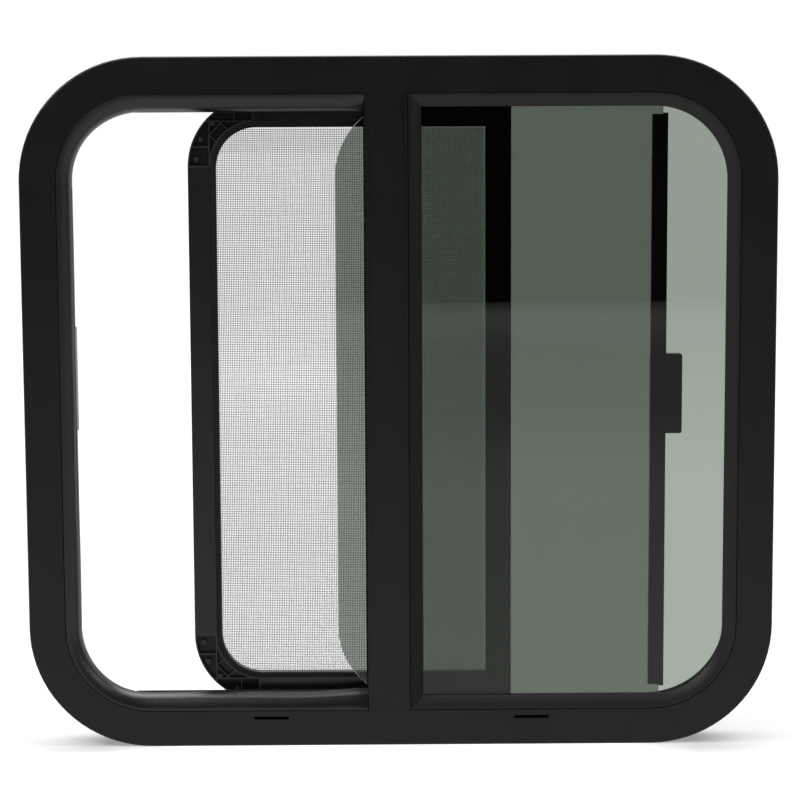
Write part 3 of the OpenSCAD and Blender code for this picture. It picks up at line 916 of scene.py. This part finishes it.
@dataclass
class BulbSeal:
    """The soft seal round the open half: flush beside the flange and rounded towards the opening.

    It is slightly uneven, because it is pushed in by hand, and it is fuller at the sill's end.
    Each fade is the power by which a change of width or depth dies away along the seal.
    """

    path: BentPath
    x_stop: float = -29.6 * MM
    groove: float = 31.9 * MM
    width: float = 12.9 * MM
    edge_r: float = 0.6 * MM
    front: float = -2.25 * MM
    bulge_r: float = 14.2 * MM
    rim: float = 10.0 * MM
    back: float = 8.6 * MM
    heel: float = 10.8 * MM
    sill_rise: float = 1.9 * MM
    sill_fade: int = 24
    head_rise: float = 2.1 * MM
    head_fade: int = 4
    swell: float = 3.0 * MM
    swell_run: float = 70 * MM
    swell_fade: int = 2
    wobble: float = 0.2 * MM
    tuck: float = 3.2 * MM
    tuck_run: float = 12 * MM
    tuck_fade: float = 1.5
    lip_u: float = 43.0 * MM
    lip_t: float = 1.5 * MM
    lip_root: float = 7.2 * MM
    edge_steps: int = 3
    arc_steps: int = 16
    wave_count: int = 6
    wave_paces: Point = (18, 70)
    wave_starts: Point = (0, 6.28)
    wave_sizes: Point = (0.4, 1.0)
    seed: int = 11

    def section(self, station: Station, waves: Callable[[float], float]) -> list[Vector]:
        """Draws the seal's section at one station.

        Args:
            station: The place along the frame.
            waves: The seal's unevenness as a function of the way along it.

        Returns:
            The section's points, from the groove over the front to the ledge.
        """
        wide = self.width + self.wobble * waves(station.along)
        wide += self.sill_rise * max(0.0, station.inward[1]) ** self.sill_fade
        wide += self.head_rise * max(0.0, -station.inward[1]) ** self.head_fade
        wide += self.swell * max(0.0, 1.0 - station.along / self.swell_run) ** self.swell_fade
        near_end = min(station.along, station.left)
        sunk = self.tuck * max(0.0, 1.0 - near_end / self.tuck_run) ** self.tuck_fade
        outline: list[Point] = [(0.0, self.back)]
        for i in range(self.edge_steps + 1):
            turn = math.radians(90 * i / self.edge_steps)
            across, depth = 1 - math.cos(turn), 1 - math.sin(turn)
            outline.append((self.edge_r * across, self.front + self.edge_r * depth))
        full_turn = math.acos(1 - (self.rim - self.front) / self.bulge_r)
        reach = (wide - self.edge_r) / math.sin(full_turn)
        for i in range(1, self.arc_steps + 1):
            turn = full_turn * i / self.arc_steps
            depth = self.front + self.bulge_r * (1 - math.cos(turn))
            across = self.edge_r + reach * math.sin(turn)
            outline.append((across, min(depth + sunk * across / wide, self.rim)))
        outline += [(self.heel, self.rim), (self.heel, self.back)]
        return [station.at(self.groove + across, depth) for across, depth in outline]

    def lip(self, stations: Sequence[Station]) -> tuple[list[Vector], list[list[int]]]:
        """Builds the thin lip behind the jamb's run, on which the closed sash rests.

        Args:
            stations: The stations along the whole seal.

        Returns:
            The lip's points and faces.
        """
        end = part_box("bulb_seal")[1].y
        run = [station for station in stations if station.inward == (1.0, 0.0)]
        points: list[Vector] = []
        section = ((0, self.lip_root), (0, end), (self.lip_t, end), (self.lip_t, self.lip_root))
        for station in (run[0], run[-1]):
            points += [station.at(self.lip_u + across, depth) for across, depth in section]
        return points, tube_faces(2, len(section))

    def build(self) -> bpy.types.Object:
        """Builds the seal.

        Returns:
            The seal, in place of its CAD node.
        """
        dice = random.Random(self.seed)
        ranges = (self.wave_paces, self.wave_starts, self.wave_sizes)
        parts = [[dice.uniform(*limits) for limits in ranges] for _ in range(self.wave_count)]

        def waves(along: float) -> float:
            """Returns the unevenness at one place along the seal, from about -1 to 1."""
            total = sum(size * math.sin(along * pace + start) for pace, start, size in parts)
            return 2 * total / len(parts)

        stations = self.path.walk(self.x_stop)
        rings = [self.section(station, waves) for station in stations]
        points = [point for ring in rings for point in ring]
        faces = tube_faces(len(rings), len(rings[0]))
        lip_points, lip_faces = self.lip(stations)
        faces += [[len(points) + corner for corner in face] for face in lip_faces]
        points += lip_points
        obj = mesh_object("bulb_seal_soft", points, faces, [SEAL_RUBBER], smooth_angle=50)
        return place_piece(obj, "seal_rubber", "bulb_seal")


@dataclass
class PileStrip:
    """The pile seal behind the mullion, whose fibres show as a black line beside its left edge."""

    node: str = "mullion_pile_seal"
    beyond: float = 1.5 * MM
    ragged: float = 0.12 * MM
    step: float = 2 * MM
    seed: int = 23

    def build(self) -> bpy.types.Object:
        """Builds the strip, with its ragged left edge.

        Returns:
            The strip, in place of its CAD node.
        """
        low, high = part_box(self.node)
        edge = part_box("mullion")[0].x - self.beyond
        middle = (low.y + high.y) / 2
        dice = random.Random(self.seed)
        steps = round((high.z - low.z) / self.step)
        points: list[Vector] = []
        for i in range(steps + 1):
            z = low.z + (high.z - low.z) * i / steps
            tip = edge + dice.uniform(-self.ragged, self.ragged)
            ring = (
                (tip + self.beyond, low.y),
                (high.x, low.y),
                (high.x, high.y),
                (tip + self.ragged, high.y),
                (tip, middle),
            )
            points += [Vector((x, y, z)) for x, y in ring]
        faces = tube_faces(steps + 1, len(ring))
        obj = mesh_object("pile_strip", points, faces, [PILE])
        return place_piece(obj, "pile", self.node)


@dataclass
class GlazingBeads:
    """The two vinyl beads round the fixed pane, each with a fine groove beside the flange.

    Reaches are measured inward from the frame's outer edge, and depths along Y.
    """

    path: BentPath
    mullion_edge: float = 7.45 * MM
    face_w: float = 31.6 * MM
    root: float = 31.65 * MM
    groove_w: float = 0.8 * MM
    groove_v: float = -1.0 * MM
    edge_v: float = -3.0 * MM
    draft: float = 0.05 * MM
    arris: float = 0.5 * MM
    arris_cut: float = 0.15 * MM
    inner: float = 43.6 * MM
    slope_end: float = 42.9 * MM
    fall: float = 4.7 * MM
    convexity: float = 1.7
    toe_w: float = 0.25 * MM
    toe_fall: float = 0.4 * MM
    toe_end: float = 0.9 * MM
    off_glass: float = 0.02 * MM
    foot: float = 34.55 * MM
    back: float = 8.9 * MM
    mitre_gap: float = 0.07 * MM
    clear: float = 14 * MM
    face_steps: int = 10

    def section(self) -> list[Point]:
        """Draws the bead's section, from the groove over the face to the foot.

        Returns:
            The section's points as (reach, depth).
        """
        on_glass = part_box("fixed_glass")[0].y - self.off_glass
        edge = self.root + self.groove_w
        crest = edge + self.arris
        outline: list[Point] = [
            (self.root, self.back),
            (self.root, self.groove_v),
            (edge - self.draft, self.groove_v),
            (edge, self.edge_v + self.arris),
            (edge + self.arris_cut, self.edge_v + self.arris_cut),
            (crest, self.edge_v),
        ]
        for i in range(1, self.face_steps + 1):
            share = i / self.face_steps
            depth = self.edge_v + self.fall * share**self.convexity
            outline.append((crest + (self.slope_end - crest) * share, depth))
        last = self.edge_v + self.fall
        outline += [
            (self.inner - self.toe_w, last + self.toe_fall),
            (self.inner, last + self.toe_end),
            (self.inner, on_glass),
            (self.foot, on_glass),
            (self.foot, self.back),
        ]
        return outline

    def sweep(self, name: str, rings: list[list[Vector]], finish: Finish, node: str) -> bpy.types.Object:
        """Joins rings of points into one bead.

        Args:
            name: The bead's name.
            rings: The section's points at each place along the bead.
            finish: Its finish.
            node: The CAD node that it stands for.

        Returns:
            The bead.
        """
        points = [point for ring in rings for point in ring]
        faces = tube_faces(len(rings), len(rings[0]))
        return place_piece(mesh_object(name, points, faces, [finish], smooth_angle=40), "bead_rubber", node)

    def mitred(self, past: float, short: float) -> list[list[Vector]]:
        """Sets the section at the two mitres beside the mullion.

        Args:
            past: How far the rings stand off along X.
            short: How far the rings stand off along Z.

        Returns:
            The lower ring and the upper one.
        """
        foot_x = self.mullion_edge - self.face_w + past
        return [
            [Vector((foot_x + u, v, z + side * (u + short))) for u, v in self.section()]
            for z, side in ((self.path.low_z, 1.0), (self.path.high_z, -1.0))
        ]

    def build(self) -> list[bpy.types.Object]:
        """Builds the bent bead and the straight one, mitred against each other.

        Returns:
            The two beads.
        """
        section = self.section()
        stations = self.path.walk(-(self.mullion_edge + self.clear))
        bent = [[station.at(u, v) * FLIP_X for u, v in section] for station in stations]
        low, high = self.mitred(self.mitre_gap, 0.0)
        bent = [low] + bent + [high]
        straight = self.mitred(0.0, self.mitre_gap)
        return [
            self.sweep("glazing_bead_vinyl", bent, BEAD_RUBBER, "glazing_bead"),
            self.sweep("mullion_bead_vinyl", straight, MULLION_VINYL, "mullion_bead"),
        ]


@dataclass
class GlassPane:
    """A tempered pane with two round corners and a ground edge with small arrises."""

    node: str
    round_left: bool
    corner_r: float
    glass: Finish
    arris: float = 0.5 * MM
    arc_steps: int = 24

    def outline(self, inset: float) -> list[Point]:
        """Draws the pane's outline, inset from its edge.

        Args:
            inset: Distance inward from the edge.

        Returns:
            The outline's points as (x, z).
        """
        low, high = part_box(self.node)
        radius = self.corner_r - inset
        x_round = low.x + inset if self.round_left else high.x - inset
        x_square = high.x - inset if self.round_left else low.x + inset
        sign = 1.0 if self.round_left else -1.0
        arc: list[Point] = []
        for i in range(self.arc_steps + 1):
            turn = math.radians(90 * i / self.arc_steps)
            across = x_round + sign * radius * (1 - math.sin(turn))
            arc.append((across, inset + radius * (1 - math.cos(turn))))
        points = [(x_square, low.z + inset)]
        points += [(x, low.z + rise) for x, rise in arc]
        points += [(x, high.z - rise) for x, rise in reversed(arc)]
        points.append((x_square, high.z - inset))
        return points

    def build(self) -> bpy.types.Object:
        """Builds the pane.

        Returns:
            The pane, in place of its CAD node.
        """
        low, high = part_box(self.node)
        rings = [
            (self.arris, low.y),
            (0.0, low.y + self.arris),
            (0.0, high.y - self.arris),
            (self.arris, high.y),
        ]
        points: list[Vector] = []
        for inset, depth in rings:
            points += [Vector((x, depth, z)) for x, z in self.outline(inset)]
        faces = tube_faces(len(rings), len(points) // len(rings))
        pick = [1] * (len(faces) - 2) + [0, 0]
        obj = mesh_object(self.node + "_pane", points, faces, [self.glass, GLASS_EDGE], pick, 30)
        return place_piece(obj, "tinted_glass", self.node)


@dataclass
class InsectMesh:
    """The mesh's strands, upright ones in front of level ones, each slightly out of line."""

    node: str = "screen_mesh"
    pitch: float = WEAVE_PITCH
    yarn: float = 0.45 * MM
    flatness: float = 0.7
    layers: Point = (0.3, 0.7)
    lip: float = 1.3 * MM
    corner_r: float = 35.1 * MM
    wander: float = 0.06 * MM
    segment: float = 24 * MM
    seed: int = 5

    def reach(self, offset: float, span: float) -> float:
        """Works out how far the round corner cuts a strand short.

        Args:
            offset: The strand's distance from the opening's rounded edge.
            span: The corner's radius.

        Returns:
            The length that is cut off.
        """
        if offset >= span:
            return 0.0
        return span - math.sqrt(max(0.0, span**2 - (span - offset) ** 2))

    def strand(
        self, start: Vector, end: Vector, weave: Weave, dice: random.Random
    ) -> tuple[list[Vector], list[list[int]]]:
        """Builds one strand as a slim four-sided tube.

        Args:
            start: One end.
            end: The other end.
            weave: The strand's direction.
            dice: The source of its unevenness.

        Returns:
            The strand's points and faces.
        """
        steps = max(2, round((end - start).length / self.segment))
        side = Vector((1, 0, 0)) if weave is Weave.UPRIGHT else Vector((0, 0, 1))
        into = Vector((0, 1, 0))
        half = self.yarn / 2
        flat = half * self.flatness
        ring = ((-half, 0), (0, -flat), (half, 0), (0, flat))
        points: list[Vector] = []
        for i in range(steps + 1):
            middle = start.lerp(end, i / steps)
            if 0 < i < steps:
                middle += side * dice.gauss(0, self.wander / 2)
            points += [middle + side * across + into * deep for across, deep in ring]
        return points, tube_sides(steps + 1, len(ring))

    def build(self) -> bpy.types.Object:
        """Builds all strands as one object.

        Returns:
            The mesh, in place of its CAD node.
        """
        low, high = (Vector(corner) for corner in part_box(self.node))
        low += Vector((self.lip, 0, self.lip))
        high -= Vector((self.lip, 0, self.lip))
        dice = random.Random(self.seed)
        front, rear = (low.y + (high.y - low.y) * share for share in self.layers)
        ends: list[tuple[Vector, Vector, Weave]] = []
        columns = int((high.x - low.x) / self.pitch)
        for i in range(1, columns):
            x = low.x + i * self.pitch + dice.gauss(0, self.wander / 2)
            short = self.reach(x - low.x, self.corner_r)
            foot, top = Vector((x, front, low.z + short)), Vector((x, front, high.z - short))
            ends.append((foot, top, Weave.UPRIGHT))
        rows = int((high.z - low.z) / self.pitch)
        for i in range(1, rows):
            z = low.z + i * self.pitch + dice.gauss(0, self.wander / 2)
            short = self.reach(min(z - low.z, high.z - z), self.corner_r)
            ends.append((Vector((low.x + short, rear, z)), Vector((high.x, rear, z)), Weave.LEVEL))
        points: list[Vector] = []
        faces: list[list[int]] = []
        for start, end, weave in ends:
            more, sides = self.strand(start, end, weave, dice)
            faces += [[len(points) + corner for corner in side] for side in sides]
            points += more
        obj = mesh_object("insect_mesh_strands", points, faces, [INSECT_YARN], smooth_angle=80)
        return place_piece(obj, "insect_mesh", self.node)


@dataclass
class CadDressing:
    """The CAD nodes whose shapes stay, each with its finish."""

    def finishes(self) -> dict[str, Finish]:
        """Chooses each kept node's finish.

        Returns:
            The finish of each node by its name.
        """
        coat = ("outer_frame", "mullion", "sash_stile")
        screen = ("screen_pull_stile", "screen_plain_stile", "screen_head_rail", "screen_sill_rail")
        tracks = [f"{panel}_{end}_track" for panel in ("sash", "screen") for end in ("head", "sill")]
        tracks += ["head_guide_strip", "sill_guide_strip"]
        moulded = ("screen_block_upper", "screen_block_lower", "screen_pull")
        chosen: dict[str, Finish] = {}
        for nodes, finish in (
            (coat, POWDER_COAT),
            (screen, SCREEN_COAT),
            (tracks, TRACK_PLASTIC),
            (moulded, MOULDED_PLASTIC),
            (("screen_corner_upper", "screen_corner_lower"), CORNER_PLASTIC),
            (("latch_body", "latch_lever"), LATCH_PLASTIC),
            (("glazing_tape",), SOFT_RUBBER),
            (("screen_spline",), SPLINE_CORD),
            (("frame_joint_plate",), BARE_ALUMINIUM),
        ):
            chosen.update({node: finish for node in nodes})
        return chosen

    def build(self) -> None:
        """Gives each kept node its finish."""
        for node, finish in self.finishes().items():
            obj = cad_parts[node]
            obj.data.materials.clear()
            obj.data.materials.append(finish.build())
            report("kept solid", obj)


@dataclass(frozen=True)
class Lamp:
    """A soft lamp: its name, its place, its power in watts, and its sides along X and upward."""

    name: str
    at: tuple[float, float, float]
    power: float
    width: float
    depth: float

    def build(self, aim_at: Vector) -> None:
        """Builds the lamp.

        Args:
            aim_at: The point that it faces.
        """
        data = bpy.data.lights.new(self.name, "AREA")
        data.shape = "RECTANGLE"
        data.size = self.width
        data.size_y = self.depth
        data.energy = self.power
        lamp = bpy.data.objects.new(self.name, data)
        lamp.location = self.at
        lamp.rotation_mode = "QUATERNION"
        lamp.rotation_quaternion = (aim_at - Vector(self.at)).to_track_quat("-Z", "Y")
        bpy.context.scene.collection.objects.link(lamp)


@dataclass
class Studio:
    """The floor, the world, the lamps and the camera.

    The world lights the window with world_light. A mirrored ray finds the dark room_front in front
    of the window and white behind it, and a ray through a pane finds behind_glass.
    """

    floor_z: float
    floor_half_x: float = 6.0
    floor_front: float = -5.2
    floor_back: float = 60.0
    world_light: float = 0.75
    room_front: float = 0.012
    room_turn: Point = (-0.05, 0.25)
    behind_glass: float = 0.9
    lamps_aim_z: float = 0.29
    lamps: tuple[Lamp, ...] = (
        Lamp("key", (-1.6, -1.8, 2.2), 20.0, 1.6, 1.6),
        Lamp("fill", (1.9, -1.5, 1.5), 7.5, 1.8, 1.8),
        Lamp("top", (0.0, 0.38, 2.6), 66.0, 2.4, 1.5),
        Lamp("left_rim", (-2.2, -0.8, 2.1), 18.0, 0.6, 0.6),
        Lamp("right_rim", (2.2, -0.8, 2.1), 7.0, 0.6, 0.6),
    )
    lens: float = 101.25
    sensor_w: float = 36.0
    sight: Point = (0.05, 200.0)
    camera_at: tuple[float, float, float] = (-0.012254, -1.94806, 0.52846)
    pitch: float = 6.78
    yaw: float = 0.36
    roll: float = -0.28

    def build_floor(self) -> bpy.types.Object:
        """Builds the floor.

        Returns:
            The floor.
        """
        near, far, side = self.floor_front, self.floor_back, self.floor_half_x
        corners = ((-side, near), (side, near), (side, far), (-side, far))
        points = [Vector((x, y, self.floor_z)) for x, y in corners]
        floor = mesh_object("floor", points, [[0, 1, 2, 3]], [PAPER])
        return floor

    def build_world(self) -> None:
        """Builds a world that shows white and lights the window softly."""
        world = bpy.data.worlds.new("studio")
        world.use_nodes = True
        tree = Tree(world.node_tree)
        behind = tree.add("SeparateXYZ", s0=tree.add("TexCoord").outputs["Generated"]).outputs["Y"]
        shine = tree.spread(behind, *self.room_turn, self.room_front, 1.0)
        level = tree.choose(tree.ray(Ray.TRANSMISSION), self.world_light, self.behind_glass)
        level = tree.choose(tree.ray(Ray.MIRRORED), level, shine)
        level = tree.choose(tree.ray(Ray.CAMERA), level, 1.0)
        light = tree.add("Background", s0=WHITE, s1=level)
        output = tree.add("OutputWorld")
        tree.feed(light.outputs[0], output.inputs["Surface"])
        bpy.context.scene.world = world

    def build_camera(self) -> None:
        """Builds the camera at the photograph's viewing angle."""
        data = bpy.data.cameras.new("camera")
        data.lens = self.lens
        data.sensor_width = self.sensor_w
        data.clip_start, data.clip_end = self.sight
        camera = bpy.data.objects.new("camera", data)
        pitch, yaw, roll = (math.radians(angle) for angle in (self.pitch, self.yaw, self.roll))
        level = math.cos(pitch)
        ahead = Vector((math.sin(yaw) * level, math.cos(yaw) * level, -math.sin(pitch)))
        right = Vector((math.cos(yaw), -math.sin(yaw), 0.0))
        up = right.cross(ahead)
        turned_right = right * math.cos(roll) + up * math.sin(roll)
        turned_up = up * math.cos(roll) - right * math.sin(roll)
        turn = Matrix((turned_right, turned_up, -ahead)).transposed().to_4x4()
        camera.matrix_world = Matrix.Translation(self.camera_at) @ turn
        bpy.context.scene.collection.objects.link(camera)
        bpy.context.scene.camera = camera

    def build(self) -> None:
        """Builds the whole studio."""
        report("floor", self.build_floor())
        self.build_world()
        for lamp in self.lamps:
            lamp.build(Vector((0.0, 0.0, self.lamps_aim_z)))
        self.build_camera()
        bpy.context.scene.view_settings.view_transform = "Standard"


def main() -> None:
    """Builds and dresses the window, piece by piece, and then the studio."""
    logging.basicConfig(level=logging.INFO, format="%(name)s: %(message)s")
    path = BentPath.from_frame()
    CadDressing().build()
    report("bulb seal", BulbSeal(path).build())
    report("pile strip", PileStrip().build())
    for bead in GlazingBeads(path).build():
        report("bead", bead)
    fixed_r = path.corner_r - FIXED_PANE_SETBACK
    report("fixed pane", GlassPane("fixed_glass", False, fixed_r, FIXED_GLASS).build())
    report("sash pane", GlassPane("sash_glass", True, SASH_CORNER_R, SASH_GLASS).build())
    report("insect mesh", InsectMesh().build())
    Studio(floor_z=cad_box[0].z).build()


if __name__ == "__main__":
    main()
